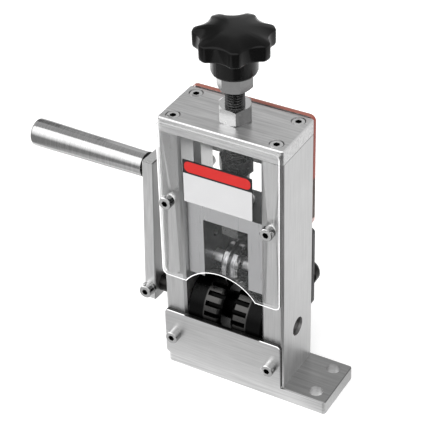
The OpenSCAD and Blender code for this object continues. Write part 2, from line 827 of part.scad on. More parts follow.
base_plate();
base_screws();
left_post();
right_post();
top_plate();
top_screws();
top_nut();
left_bush();
right_bush();
front_cover();
cover_screws();
cover_label();
front_guard();
guard_screws();
rear_cover();
rear_cover_screws();
rear_label();
slider_yoke();
blade_axle();
blade_spacers();
cutting_blade();
blade_flanges();
blade_bush();
flange_screws();
feed_screw();
yoke_washers();
yoke_sleeve();
yoke_nut();
end_nut();
jam_nut();
star_knob();
drive_shaft();
drive_roller();
roller_key();
thrust_washers();
crank_arm();
clamp_screw();
clamp_washer();
handle_bolt();
handle_washer();
handle_grip();
wire_guide();
guide_knob_left();
guide_knob_right();
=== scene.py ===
# %% [markdown]
# # A hand crank wire stripper, dressed for the camera
# The imported model brings every metal and plastic part at its real size and place.
# This lesson gives the parts their finishes, and remodels the few whose look needs
# more than the solid has: the threaded spindle, the moulded knob, the turned handle,
# the screws with painted shade in their sockets, the clear covers and the printed labels.

# %% Load the frame
import json
import math

import bmesh
import bpy
from mathutils import Matrix, Vector

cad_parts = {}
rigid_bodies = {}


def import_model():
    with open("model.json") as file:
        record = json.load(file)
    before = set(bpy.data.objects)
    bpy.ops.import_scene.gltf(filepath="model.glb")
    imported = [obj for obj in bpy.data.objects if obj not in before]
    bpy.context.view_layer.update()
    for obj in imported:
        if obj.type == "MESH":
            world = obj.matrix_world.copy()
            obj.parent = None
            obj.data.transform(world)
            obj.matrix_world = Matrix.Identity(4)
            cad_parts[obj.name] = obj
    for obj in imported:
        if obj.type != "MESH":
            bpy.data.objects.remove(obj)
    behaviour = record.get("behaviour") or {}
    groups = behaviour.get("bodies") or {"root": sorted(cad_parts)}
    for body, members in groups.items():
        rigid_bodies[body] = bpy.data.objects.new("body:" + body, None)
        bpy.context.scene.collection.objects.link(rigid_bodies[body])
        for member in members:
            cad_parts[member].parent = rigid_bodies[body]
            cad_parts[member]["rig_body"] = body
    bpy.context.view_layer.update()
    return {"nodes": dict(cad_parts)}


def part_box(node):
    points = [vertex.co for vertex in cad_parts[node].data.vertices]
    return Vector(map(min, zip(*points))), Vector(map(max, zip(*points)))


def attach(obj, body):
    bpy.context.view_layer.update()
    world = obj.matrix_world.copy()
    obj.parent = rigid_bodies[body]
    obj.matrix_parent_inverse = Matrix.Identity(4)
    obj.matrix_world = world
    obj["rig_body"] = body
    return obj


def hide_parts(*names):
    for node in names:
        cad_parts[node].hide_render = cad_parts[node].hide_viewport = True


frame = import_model()
nodes = frame["nodes"]
MM = 0.001

# %% [markdown]
# ## The camera
# The photograph looks down on the tool from the front right. A camera is a place, a
# direction and a lens, so three measured vectors say it all: where it stands, the point
# that it looks at, and which way is up in the picture.

# %% Place the camera
CAMERA_PLACE = Vector((0.39583, -0.69820, 0.69430))
VIEW_DIRECTION = Vector((-0.41267, 0.69998, -0.58286))
PICTURE_UP = Vector((-0.27098, 0.51657, 0.81223))
LENS_MM = 135.27
SENSOR_MM = 36


def add_camera():
    """A camera whose axes are worked out from its direction and its picture's up."""
    data = bpy.data.cameras.new("camera")
    data.lens = LENS_MM
    data.sensor_width = SENSOR_MM
    camera = bpy.data.objects.new("camera", data)
    bpy.context.scene.collection.objects.link(camera)
    back = -VIEW_DIRECTION.normalized()
    right = PICTURE_UP.cross(back).normalized()
    up = back.cross(right)
    turn = Matrix((right, up, back)).transposed()
    camera.matrix_world = Matrix.Translation(CAMERA_PLACE) @ turn.to_4x4()
    bpy.context.scene.camera = camera
    return camera


camera = add_camera()
bpy.context.scene.view_settings.view_transform = "Standard"
print("camera looks along", [round(c, 3) for c in camera.matrix_world.col[2][:3]])

# %% [markdown]
# ## Light and floor
# Metal shows what stands round it, so the studio is drawn in the world's own nodes: a sky
# that is brightest towards the back, a large white card in front, and a dark patch high
# up at the back. A round handle then shows its bands of dark, grey and white, while each flat
# face of the frame keeps one grey. The camera itself sees plain white.

# %% Light the studio
SKY_STOPS = [(0.0, 0.5), (0.5, 0.55), (0.6, 0.75), (0.8, 0.95), (0.87, 0.6), (1.0, 0.5)]
BACKDROP_LEVEL = 1.0
CARD_LEVEL = 2.3
CARD_SIDE = (-0.225, -0.25)
CARD_UP = (0.0, 0.5)
PATCH_LEVEL = 0.2
PATCH_SIDE = (0.42, 0.5)
PATCH_UP = (0.1, 0.3)
PATCH_ACROSS = (-0.47, -0.485)
MIDDLE = (0, 0, 0.12)
KEY_PLACE = (-0.55, -0.9, 0.55)
KEY_SIZE = 0.3
KEY_WATTS = 3.0
OVERHEAD_PLACE = (0, 0, 2.2)
OVERHEAD_SIZE = 2.5
OVERHEAD_WATTS = 24.0


def fade_between(tree, source, start, end):
    """0 where the source is at start, 1 where it is at end, and clamped outside."""
    fade = tree.nodes.new("ShaderNodeMapRange")
    fade.inputs["From Min"].default_value = start
    fade.inputs["From Max"].default_value = end
    tree.links.new(source, fade.inputs["Value"])
    return fade.outputs["Result"]


def multiply(tree, first, second):
    """The product of two masks."""
    product = tree.nodes.new("ShaderNodeMath")
    product.operation = "MULTIPLY"
    tree.links.new(first, product.inputs[0])
    tree.links.new(second, product.inputs[1])
    return product.outputs["Value"]


def cover_with(tree, mask, below, level):
    """The level below, replaced by a fixed level where the mask is 1."""
    mix = tree.nodes.new("ShaderNodeMix")
    mix.inputs["B"].default_value = level
    tree.links.new(mask, mix.inputs["Factor"])
    tree.links.new(below, mix.inputs["A"])
    return mix.outputs["Result"]


def grey_ramp(tree, source, levels):
    """A level that runs through (share, level) pairs as the source goes from 0 to 1."""
    ramp = tree.nodes.new("ShaderNodeValToRGB")
    stops = ramp.color_ramp.elements
    while len(stops) < len(levels):
        stops.new(0.5)
    for stop, (share, level) in zip(stops, levels):
        stop.position = share
        stop.color = (level, level, level, 1)
    tree.links.new(source, ramp.inputs["Fac"])
    return ramp.outputs["Color"]


def light_world():
    """White for the camera; sky, dark patch and white card for everything else."""
    world = bpy.data.worlds.new("studio")
    bpy.context.scene.world = world
    world.use_nodes = True
    tree = world.node_tree
    tree.nodes.clear()
    place = tree.nodes.new("ShaderNodeTexCoord")
    split = tree.nodes.new("ShaderNodeSeparateXYZ")
    tree.links.new(place.outputs["Generated"], split.inputs["Vector"])
    across, side, up = split.outputs["X"], split.outputs["Y"], split.outputs["Z"]
    sky_level = grey_ramp(tree, fade_between(tree, up, -1.0, 1.0), SKY_STOPS)
    patch = multiply(tree, fade_between(tree, side, *PATCH_SIDE), fade_between(tree, up, *PATCH_UP))
    patch = multiply(tree, patch, fade_between(tree, across, *PATCH_ACROSS))
    card = multiply(tree, fade_between(tree, side, *CARD_SIDE), fade_between(tree, up, *CARD_UP))
    level = cover_with(tree, patch, sky_level, PATCH_LEVEL)
    level = cover_with(tree, card, level, CARD_LEVEL)
    seen = tree.nodes.new("ShaderNodeLightPath")
    sky = tree.nodes.new("ShaderNodeBackground")
    out = tree.nodes.new("ShaderNodeOutputWorld")
    level = cover_with(tree, seen.outputs["Is Camera Ray"], level, BACKDROP_LEVEL)
    tree.links.new(level, sky.inputs["Strength"])
    tree.links.new(sky.outputs["Background"], out.inputs["Surface"])


def add_softbox(name, place, size, watts):
    """A square area lamp that faces the object and lights it, but isn't mirrored in metal."""
    data = bpy.data.lights.new(name, "AREA")
    data.size = size
    data.energy = watts
    lamp = bpy.data.objects.new(name, data)
    bpy.context.scene.collection.objects.link(lamp)
    lamp.location = place
    lamp.rotation_euler = (Vector(MIDDLE) - Vector(place)).to_track_quat("-Z", "Y").to_euler()
    lamp.visible_glossy = False


light_world()
add_softbox("key", KEY_PLACE, KEY_SIZE, KEY_WATTS)
add_softbox("overhead", OVERHEAD_PLACE, OVERHEAD_SIZE, OVERHEAD_WATTS)

# %% Lay the floor
FLOOR_SIZE = 6.0
FLOOR_WHITE = 0.93
FLOOR_GLOW = 0.2
FLOOR_ROUGH = 0.9
MIRRORED_STOPS = [(0.05, 1.2), (0.2, 1.0), (0.38, 0.75), (0.45, 0.6), (0.475, 0.62), (0.484, 0.95),
                  (0.495, 0.95), (0.51, 0.72), (0.55, 0.88), (1.0, 0.9)]
CORNER_LEVEL = 0.1
CORNER_ACROSS = (0.05, 0.075)
CORNER_DEEP = (-0.02, -0.04)
LEFT_LEVEL = 0.3
LEFT_ACROSS = (-0.19, -0.24)
LEFT_DEEP = (-0.02, -0.06)
LEFT_BACK_LEVEL = 1.2
LEFT_BACK_DEEP = (-0.02, 0.0)


def lay_floor():
    """A pale floor; metal sees it bright in front, and dark at the far left and the near right."""
    bm = bmesh.new()
    bmesh.ops.create_grid(bm, x_segments=1, y_segments=1, size=FLOOR_SIZE / 2)
    mesh = bpy.data.meshes.new("floor")
    bm.to_mesh(mesh)
    bm.free()
    floor = bpy.data.objects.new("floor", mesh)
    bpy.context.scene.collection.objects.link(floor)
    material = bpy.data.materials.new("floor_white")
    material.use_nodes = True
    tree = material.node_tree
    shader = tree.nodes["Principled BSDF"]
    shader.inputs["Base Color"].default_value = (FLOOR_WHITE, FLOOR_WHITE, FLOOR_WHITE, 1)
    shader.inputs["Roughness"].default_value = FLOOR_ROUGH
    shader.inputs["Emission Color"].default_value = (1, 1, 1, 1)
    shader.inputs["Emission Strength"].default_value = FLOOR_GLOW
    place = tree.nodes.new("ShaderNodeTexCoord")
    split = tree.nodes.new("ShaderNodeSeparateXYZ")
    tree.links.new(place.outputs["Object"], split.inputs["Vector"])
    across, deep = split.outputs["X"], split.outputs["Y"]
    levels = grey_ramp(tree, fade_between(tree, deep, -1.0, 1.0), MIRRORED_STOPS)
    far_right = fade_between(tree, across, *CORNER_ACROSS)
    corner = multiply(tree, far_right, fade_between(tree, deep, *CORNER_DEEP))
    far_left = fade_between(tree, across, *LEFT_ACROSS)
    left = multiply(tree, far_left, fade_between(tree, deep, *LEFT_DEEP))
    left_back = multiply(tree, far_left, fade_between(tree, deep, *LEFT_BACK_DEEP))
    levels = cover_with(tree, left, levels, LEFT_LEVEL)
    levels = cover_with(tree, left_back, levels, LEFT_BACK_LEVEL)
    mirrored = tree.nodes.new("ShaderNodeEmission")
    tree.links.new(cover_with(tree, corner, levels, CORNER_LEVEL), mirrored.inputs["Strength"])
    seen = tree.nodes.new("ShaderNodeLightPath")
    choose = tree.nodes.new("ShaderNodeMixShader")
    tree.links.new(seen.outputs["Is Glossy Ray"], choose.inputs[0])
    tree.links.new(shader.outputs["BSDF"], choose.inputs[1])
    tree.links.new(mirrored.outputs["Emission"], choose.inputs[2])
    tree.links.new(choose.outputs["Shader"], tree.nodes["Material Output"].inputs["Surface"])
    mesh.materials.append(material)


lay_floor()

# %% [markdown]
# ## Effects that several finishes share
# Brushed and machined metal is a grain drawn out in one direction. It is a noise whose
# coordinates are stretched, and it is wanted in nearly every finish, so it becomes a node
# group: direction, fineness and depth go in, and a mask and a surface normal come out.
# A second group puts out broad stains and dust, which break up a surface that would
# otherwise be one even colour.

# %% Build the grain group
GRAIN_DETAIL = 3.0
GRAIN_HEIGHT = 0.03 * MM


def new_group(name, inputs, outputs):
    """An empty shader group with the named sockets: name, kind and default."""
    group = bpy.data.node_groups.new(name, "ShaderNodeTree")
    for label, kind, value in inputs:
        socket = group.interface.new_socket(label, in_out="INPUT", socket_type=kind)
        if value is not None:
            socket.default_value = value
    for label, kind in outputs:
        group.interface.new_socket(label, in_out="OUTPUT", socket_type=kind)
    return group, group.nodes.new("NodeGroupInput"), group.nodes.new("NodeGroupOutput")


def build_grain_group():
    """Fine lines along one direction: Stretch is small along the grain and large across it."""
    group, inside, out = new_group(
        "drawn_grain",
        [("Stretch", "NodeSocketVector", (1, 1, 1)), ("Fineness", "NodeSocketFloat", 900.0),
         ("Depth", "NodeSocketFloat", 0.1)],
        [("Mask", "NodeSocketFloat"), ("Normal", "NodeSocketVector")],
    )
    place = group.nodes.new("ShaderNodeTexCoord")
    stretch = group.nodes.new("ShaderNodeVectorMath")
    stretch.operation = "MULTIPLY"
    noise = group.nodes.new("ShaderNodeTexNoise")
    noise.inputs["Detail"].default_value = GRAIN_DETAIL
    bump = group.nodes.new("ShaderNodeBump")
    bump.inputs["Distance"].default_value = GRAIN_HEIGHT
    link = group.links.new
    link(place.outputs["Object"], stretch.inputs[0])
    link(inside.outputs["Stretch"], stretch.inputs[1])
    link(stretch.outputs["Vector"], noise.inputs["Vector"])
    link(inside.outputs["Fineness"], noise.inputs["Scale"])
    link(noise.outputs["Fac"], bump.inputs["Height"])
    link(inside.outputs["Depth"], bump.inputs["Strength"])
    link(noise.outputs["Fac"], out.inputs["Mask"])
    link(bump.outputs["Normal"], out.inputs["Normal"])
    return group


grain_group = build_grain_group()
print("grain sockets:", [s.name for s in grain_group.interface.items_tree])

# %% Build the stain group
BLOTCH_DETAIL = 4.0
DUST_DETAIL = 1.0
DUST_CUT = (0.68, 0.8)


def build_stain_group():
    """Broad soft blotches, from 0 to 1, and fine specks of dust."""
    group, inside, out = new_group(
        "stains",
        [("Size", "NodeSocketFloat", 60.0), ("Specks", "NodeSocketFloat", 900.0)],
        [("Blotch", "NodeSocketFloat"), ("Dust", "NodeSocketFloat")],
    )
    place = group.nodes.new("ShaderNodeTexCoord")
    broad = group.nodes.new("ShaderNodeTexNoise")
    broad.inputs["Detail"].default_value = BLOTCH_DETAIL
    fine = group.nodes.new("ShaderNodeTexNoise")
    fine.inputs["Detail"].default_value = DUST_DETAIL
    link = group.links.new
    link(place.outputs["Object"], broad.inputs["Vector"])
    link(inside.outputs["Size"], broad.inputs["Scale"])
    link(place.outputs["Object"], fine.inputs["Vector"])
    link(inside.outputs["Specks"], fine.inputs["Scale"])
    link(broad.outputs["Fac"], out.inputs["Blotch"])
    link(fade_between(group, fine.outputs["Fac"], *DUST_CUT), out.inputs["Dust"])
    return group


stain_group = build_stain_group()

# %% [markdown]
# ## Metal finishes
# The frame is machined aluminium: satin, with fine lines along each part. The handle is
# turned and polished, so its lines run round it. Nuts and socket screws are bright
# plated steel, and the roller, the shaft and the spindle are blackened steel, which is
# dark, a little oily, and brown-black rather than neutral. One function lays out the nodes,
# and each finish gives it its own numbers: two colours, two roughnesses, the grain's
# direction, fineness and depth, and how much its lines streak the colour. A few finishes
# are then shaded from one side of the part to the other.

# %% Write the metal material
MASK_RANGE = (0.3, 0.7)
STREAK_RANGE = (0.55, 1.35)
SIDE_RANGE = (-0.6, 0.6)
FROM_FRONT = (-0.6, -0.4)
FROM_FRONT_OR_BACK = (0.6, 0.4)
BEVEL_START = (0.3, 0.4)
BEVEL_END = (0.95, 0.85)
METAL_STAINS = 60.0
# Painted shade on the bevels that lie near the middle of a part.
PAINTED_BEVEL_SHADE = (0.03, 0.03, 0.03)
ALONG_X = (0.04, 1, 1)
ALONG_Z = (1, 1, 0.04)
ROUND_X = (1, 0.15, 0.15)
EVEN = (1, 1, 1)


def grey(level):
    """A neutral colour."""
    return (level, level, level)


def place_group(tree, group, **values):
    """A group node with its inputs set."""
    node = tree.nodes.new("ShaderNodeGroup")
    node.node_tree = group
    for label, value in values.items():
        node.inputs[label].default_value = value
    return node


def ramp_between(tree, source, low, high, colour=False):
    """Turns a mask into a value or a colour between low and high."""
    if colour:
        mix = tree.nodes.new("ShaderNodeMix")
        mix.data_type = "RGBA"
        mix.inputs["A"].default_value = (*low, 1)
        mix.inputs["B"].default_value = (*high, 1)
        tree.links.new(source, mix.inputs["Factor"])
        return mix.outputs["Result"]
    ramp = tree.nodes.new("ShaderNodeMapRange")
    ramp.inputs["From Min"].default_value = MASK_RANGE[0]
    ramp.inputs["From Max"].default_value = MASK_RANGE[1]
    ramp.inputs["To Min"].default_value = low
    ramp.inputs["To Max"].default_value = high
    tree.links.new(source, ramp.inputs["Value"])
    return ramp.outputs["Result"]


def facing_part(tree, axis, two_sided=True):
    """The part of the surface normal along an axis, without its sign if two_sided."""
    facing = tree.nodes.new("ShaderNodeNewGeometry")
    split = tree.nodes.new("ShaderNodeSeparateXYZ")
    tree.links.new(facing.outputs["True Normal"], split.inputs["Vector"])
    if not two_sided:
        return split.outputs[axis]
    size = tree.nodes.new("ShaderNodeMath")
    size.operation = "ABSOLUTE"
    tree.links.new(split.outputs[axis], size.inputs[0])
    return size.outputs["Value"]


def place_part(tree, axis):
    """How far a point lies from the middle along an axis."""
    place = tree.nodes.new("ShaderNodeTexCoord")
    split = tree.nodes.new("ShaderNodeSeparateXYZ")
    tree.links.new(place.outputs["Object"], split.inputs["Vector"])
    size = tree.nodes.new("ShaderNodeMath")
    size.operation = "ABSOLUTE"
    tree.links.new(split.outputs[axis], size.inputs[0])
    return size.outputs["Value"]


def paint_over(tree, mask, below, colour):
    """The colour below, replaced by a fixed one where the mask is 1."""
    mix = tree.nodes.new("ShaderNodeMix")
    mix.data_type = "RGBA"
    mix.inputs["B"].default_value = (*colour, 1)
    tree.links.new(mask, mix.inputs["Factor"])
    tree.links.new(below, mix.inputs["A"])
    return mix.outputs["Result"]


def metal(name, dark, light, smooth, rough, grain=EVEN, fineness=900.0, depth=0.1, streak=0.2,
          bevel_axis=None, painted_bevel_grey=0.95, bevel_from=0.0, painted_flank_shade=None, two_sided=True):
    """Metal between two colours and two roughnesses, with a grain drawn along one direction.

    Faces that tilt towards the bevel axis take the bevel grey, a painted highlight where it is lighter
    than the faces and painted shade where it is darker, and painted dark shade instead nearer the middle
    than bevel_from; faces that look away from the front take a colour of painted shade.
    """
    material = bpy.data.materials.new(name)
    material.use_nodes = True
    tree = material.node_tree
    shader = tree.nodes["Principled BSDF"]
    shader.inputs["Metallic"].default_value = 1.0
    lines = place_group(tree, grain_group, Stretch=grain, Fineness=fineness, Depth=depth)
    stains = place_group(tree, stain_group, Size=METAL_STAINS)
    streaks = tree.nodes.new("ShaderNodeMix")
    streaks.data_type = "RGBA"
    streaks.blend_type = "MULTIPLY"
    streaks.inputs["Factor"].default_value = streak
    plain = ramp_between(tree, stains.outputs["Blotch"], dark, light, colour=True)
    tree.links.new(plain, streaks.inputs["A"])
    tree.links.new(ramp_between(tree, lines.outputs["Mask"], *STREAK_RANGE), streaks.inputs["B"])
    colour = streaks.outputs["Result"]
    # Painted shade on the faces that look away from the front.
    if painted_flank_shade is not None:
        away_range = FROM_FRONT_OR_BACK if two_sided else FROM_FRONT
        away = fade_between(tree, facing_part(tree, "Y", two_sided), *away_range)
        colour = paint_over(tree, away, colour, painted_flank_shade)
    # The bevels take a painted highlight where their grey is lighter than the faces, and painted shade where
    # it is darker.
    if bevel_axis is not None:
        part = facing_part(tree, bevel_axis, bevel_axis == "X")
        bevels = multiply(tree, fade_between(tree, part, *BEVEL_START), fade_between(tree, part, *BEVEL_END))
        if painted_flank_shade is not None and not two_sided:
            ahead = fade_between(tree, facing_part(tree, "Y", False), *FROM_FRONT[::-1])
            bevels = multiply(tree, bevels, ahead)
        colour = paint_over(tree, bevels, colour, grey(painted_bevel_grey))
        if bevel_from > 0:
            inside = fade_between(tree, place_part(tree, "X"), bevel_from + MM, bevel_from)
            colour = paint_over(tree, multiply(tree, bevels, inside), colour, PAINTED_BEVEL_SHADE)
    tree.links.new(colour, shader.inputs["Base Color"])
    tree.links.new(ramp_between(tree, lines.outputs["Mask"], smooth, rough), shader.inputs["Roughness"])
    tree.links.new(lines.outputs["Normal"], shader.inputs["Normal"])
    return material


def shade_across(material, low, high, axis):
    """Scales a metal's colour from the faces that look down an axis to those that look up it."""
    tree = material.node_tree
    shader = tree.nodes["Principled BSDF"]
    metal_colour = shader.inputs["Base Color"].links[0].from_socket
    share = ramp_between(tree, fade_between(tree, facing_part(tree, axis, False), *SIDE_RANGE), low, high)
    scaled = tree.nodes.new("ShaderNodeVectorMath")
    scaled.operation = "SCALE"
    tree.links.new(metal_colour, scaled.inputs[0])
    tree.links.new(share, scaled.inputs["Scale"])
    tree.links.new(scaled.outputs["Vector"], shader.inputs["Base Color"])


ROLLER_Z = 46.5 * MM
ROLLER_R = 19.8 * MM
TOOTH_TOP = 0.5 * MM
TOOTH_FOOT = 1.5 * MM
DRUM_EDGE = 15.2 * MM
DRUM_BLUR = 0.4 * MM
BAND_BLACK = (0.009, 0.009, 0.009)
GAP_PAINTED_SHADE = (0.004, 0.004, 0.004)


def toothed_oxide(name):
    """Black oxide on the teeth, painted near black in the gaps between them as painted shade, and a darker
    black on the end bands.
    """
    material = metal(name, (0.055, 0.054, 0.053), (0.11, 0.108, 0.106), 0.24, 0.4, EVEN, 700.0, 0.2)
    tree = material.node_tree
    shader = tree.nodes["Principled BSDF"]
    metal_colour = shader.inputs["Base Color"].links[0].from_socket
    place = tree.nodes.new("ShaderNodeTexCoord")
    flat = tree.nodes.new("ShaderNodeVectorMath")
    flat.operation = "MULTIPLY_ADD"
    flat.inputs[1].default_value = (0, 1, 1)
    flat.inputs[2].default_value = (0, 0, -ROLLER_Z)
    reach = tree.nodes.new("ShaderNodeVectorMath")
    reach.operation = "LENGTH"
    tree.links.new(place.outputs["Object"], flat.inputs[0])
    tree.links.new(flat.outputs["Vector"], reach.inputs[0])
    deep = fade_between(tree, reach.outputs["Value"], ROLLER_R - TOOTH_TOP, ROLLER_R - TOOTH_FOOT)
    band = fade_between(tree, place_part(tree, "X"), DRUM_EDGE - DRUM_BLUR, DRUM_EDGE + DRUM_BLUR)
    colour = paint_over(tree, band, metal_colour, BAND_BLACK)
    # Painted shade: the gaps between the teeth are painted near black.
    tree.links.new(paint_over(tree, deep, colour, GAP_PAINTED_SHADE), shader.inputs["Base Color"])
    return material


GUARD_BEVEL_X = 26.5 * MM

# Painted light and shade in these finishes: the bevel grey is a painted highlight on the top plate, the
# guard's ends and the blade discs, and painted shade on the arm, the base plate and the middle of the guard;
# the colour of the faces that look away from the front is painted shade on the yoke's sides and on every face
# of the guard but its front.
finishes = {
    "post_aluminium": metal("post_aluminium", grey(0.66), grey(0.76), 0.34, 0.5, ALONG_Z, depth=0.3),
    "top_aluminium": metal("top_aluminium", grey(0.72), grey(0.84), 0.36, 0.5, ALONG_X, 700.0, 0.2, 0.45,
                           bevel_axis="Z", painted_bevel_grey=0.85),
    "arm_aluminium": metal("arm_aluminium", grey(0.76), grey(0.84), 0.34, 0.5, ALONG_Z, depth=0.3,
                           bevel_axis="Z", painted_bevel_grey=0.3),
    "base_aluminium": metal("base_aluminium", grey(0.64), grey(0.72), 0.3, 0.46, ALONG_X, 700.0, 0.25, 0.4,
                            bevel_axis="Z", painted_bevel_grey=0.5),
    "guard_aluminium": metal("guard_aluminium", grey(0.66), grey(0.76), 0.3, 0.44, ALONG_X, depth=0.2,
                             bevel_axis="Z", bevel_from=GUARD_BEVEL_X, painted_flank_shade=grey(0.06), two_sided=False),
    "yoke_steel": metal("yoke_steel", (0.54, 0.54, 0.55), (0.62, 0.62, 0.63), 0.26, 0.4, ALONG_Z, depth=0.05,
                        streak=0.08, painted_flank_shade=(0.07, 0.07, 0.073)),
    "handle_polish": metal("handle_polish", grey(0.55), grey(0.62), 0.08, 0.18, ROUND_X, depth=0.1),
    "disc_steel": metal("disc_steel", (0.04, 0.04, 0.042), (0.6, 0.6, 0.61), 0.1, 0.22, ROUND_X, 1300.0, 0.3,
                        1.0, bevel_axis="X", painted_bevel_grey=0.95),
    "bright_plate": metal("bright_plate", grey(0.6), grey(0.78), 0.08, 0.18, EVEN, 500.0, 0.05),
    "nut_plate": metal("nut_plate", grey(0.32), grey(0.42), 0.12, 0.26, EVEN, 500.0, 0.05),
    "top_nut_plate": metal("top_nut_plate", grey(0.5), grey(0.6), 0.14, 0.28, EVEN, 500.0, 0.05),
    # Painted shade for the insides of the screw sockets.
    "socket_shade": metal("socket_shade", grey(0.01), grey(0.02), 0.3, 0.5),
    "ground_steel": metal("ground_steel", (0.86, 0.86, 0.87), grey(0.95), 0.3, 0.45, ROUND_X, depth=0.15),
    "black_oxide": metal("black_oxide", (0.020, 0.019, 0.019), (0.040, 0.038, 0.037), 0.22, 0.4, EVEN, 700.0,
                         0.2),
    "roller_oxide": toothed_oxide("roller_oxide"),
    "dark_oxide": metal("dark_oxide", grey(0.09), grey(0.14), 0.16, 0.3, EVEN, 700.0, 0.1),
    "bronze": metal("bronze", (0.32, 0.19, 0.09), (0.42, 0.26, 0.13), 0.3, 0.45, EVEN, 600.0, 0.15),
}
# Painted light and shade: each finish is scaled by the low share on faces that look down the axis and by the
# high share on faces that look up it, so one side of the part is painted lit and the other shaded; on the top
# nut the bright left facets are a painted reflection of the top plate.
SHADES = [
    ("arm_aluminium", 1.4, 0.6, "X"),
    ("base_aluminium", 1.2, 0.8, "X"),
    ("base_aluminium", 1.4, 0.6, "Z"),
    ("bright_plate", 1.3, 0.45, "X"),
    ("nut_plate", 1.3, 0.8, "X"),
    ("top_nut_plate", 1.9, 0.5, "X"),
]
for finish_name, low_share, high_share, shade_axis in SHADES:
    shade_across(finishes[finish_name], low_share, high_share, shade_axis)
print("metal finishes:", sorted(finishes))

# %% [markdown]
# ## Plastics and the black guide plate
# The knob is a glossy moulded plastic: nearly black, with a clear reflection and the
# faintest waviness. The guide plate is anodised aluminium, which is black and satin, and
# behaves more like paint than like bare metal.

# %% Write the plastic material
PLASTIC_STAINS = 90.0


def plastic(name, dark, light, smooth, rough, depth, fineness=240.0, gloss=0.5):
    """A dielectric between two colours and two roughnesses, with a slight waviness."""
    material = bpy.data.materials.new(name)
    material.use_nodes = True
    tree = material.node_tree
    shader = tree.nodes["Principled BSDF"]
    shader.inputs["Specular IOR Level"].default_value = gloss
    waves = place_group(tree, grain_group, Stretch=EVEN, Fineness=fineness, Depth=depth)
    blotch = place_group(tree, stain_group, Size=PLASTIC_STAINS).outputs["Blotch"]
    tree.links.new(ramp_between(tree, blotch, dark, light, colour=True), shader.inputs["Base Color"])
    tree.links.new(ramp_between(tree, blotch, smooth, rough), shader.inputs["Roughness"])
    tree.links.new(waves.outputs["Normal"], shader.inputs["Normal"])
    return material


finishes["black_gloss"] = plastic("black_gloss", grey(0.003), grey(0.005), 0.1, 0.2, 0.05, gloss=0.16)
finishes["black_anodised"] = plastic("black_anodised", (0.016, 0.016, 0.018), (0.03, 0.03, 0.032), 0.34, 0.48,
                                     0.25, 900.0)

# %% Dress the CAD nodes
DRESS = {
    "post_aluminium": ["left_post", "right_post"],
    "arm_aluminium": ["crank_arm"],
    "top_aluminium": ["top_plate"],
    "base_aluminium": ["base_plate"],
    "guard_aluminium": ["front_guard"],
    "yoke_steel": ["slider_yoke"],
    "bright_plate": ["top_screws", "cover_screws", "guard_screws", "rear_cover_screws", "yoke_washers",
                     "roller_key", "clamp_screw", "clamp_washer"],
    "nut_plate": ["jam_nut"],
    "top_nut_plate": ["top_nut"],
    "ground_steel": ["blade_axle", "blade_spacers", "blade_bush"],
    "disc_steel": ["blade_flanges", "cutting_blade"],
    "black_oxide": ["base_screws", "flange_screws", "drive_shaft", "handle_bolt"],
    "roller_oxide": ["drive_roller"],
    "dark_oxide": ["yoke_sleeve", "yoke_nut", "end_nut"],
    "bronze": ["left_bush", "right_bush", "thrust_washers"],
    "black_gloss": ["handle_washer", "guide_knob_left", "guide_knob_right"],
    "black_anodised": ["wire_guide"],
}


def dress(node_name, material):
    """Puts one material on a CAD node."""
    mesh = nodes[node_name].data
    mesh.materials.clear()
    mesh.materials.append(material)


for finish_name, wearers in DRESS.items():
    for node_name in wearers:
        dress(node_name, finishes[finish_name])
print("dressed:", sum(len(w) for w in DRESS.values()), "of", len(nodes), "nodes")

# %% [markdown]
# ## Tools for the new pieces
# Each new piece starts as a bmesh and ends as an object at the origin, with its place in
# its mesh. It then rides on the body of the CAD node that it stands for.

# %% Write the piece helpers
SEAM_REACH = 0.002 * MM
MERGE_REACH = 0.001 * MM
FLAT_ANGLE = math.radians(1)


def finish_piece(bm, name, materials, node_name, smooth_angle=35):
    """Makes the bmesh an object that stands for a CAD node and rides on its body."""
    mesh = bpy.data.meshes.new(name)
    bm.to_mesh(mesh)
    bm.free()
    for material in materials:
        mesh.materials.append(material)
    piece = bpy.data.objects.new(name, mesh)
    bpy.context.scene.collection.objects.link(piece)
    mesh.shade_smooth()
    mesh.set_sharp_from_angle(angle=math.radians(smooth_angle))
    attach(piece, nodes[node_name]["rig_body"])
    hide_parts(node_name)
    print(f"{name}: {len(mesh.polygons)} faces, stands for {node_name}")


def add_loop(bm, points):
    """An open chain of edges through the points, ready to be spun or extruded."""
    verts = [bm.verts.new(p) for p in points]
    edges = [bm.edges.new(pair) for pair in zip(verts, verts[1:])]
    return verts, edges


def spin_full(bm, geom, centre, axis, steps):
    """Turns a chain of edges right round the axis and closes the seam."""
    bmesh.ops.spin(bm, geom=geom, cent=centre, axis=axis, angle=2 * math.pi, steps=steps, use_merge=True)
    bmesh.ops.remove_doubles(bm, verts=bm.verts, dist=SEAM_REACH)
    bmesh.ops.recalc_face_normals(bm, faces=bm.faces)


# %% [markdown]
# ## The feed screw's thread
# The spindle is a plain rod in the model. A thread is one tooth's outline, swept along a
# helix: bmesh's spin takes a step along the axis as well as a turn, so an outline that is
# one pitch high meets itself after each full turn, and merging the doubles closes it.

# %% Cut the thread
THREAD_PITCH = 1.75 * MM
THREAD_DEPTH = 1.0 * MM
THREAD_STEPS = 36
THREAD_OUTLINE = [(1, 0.0), (0, 0.40), (0, 0.52), (1, 0.92), (1, 1.0)]
THREAD_MERGE = 0.02 * MM
CUT_REACH = 0.01 * MM


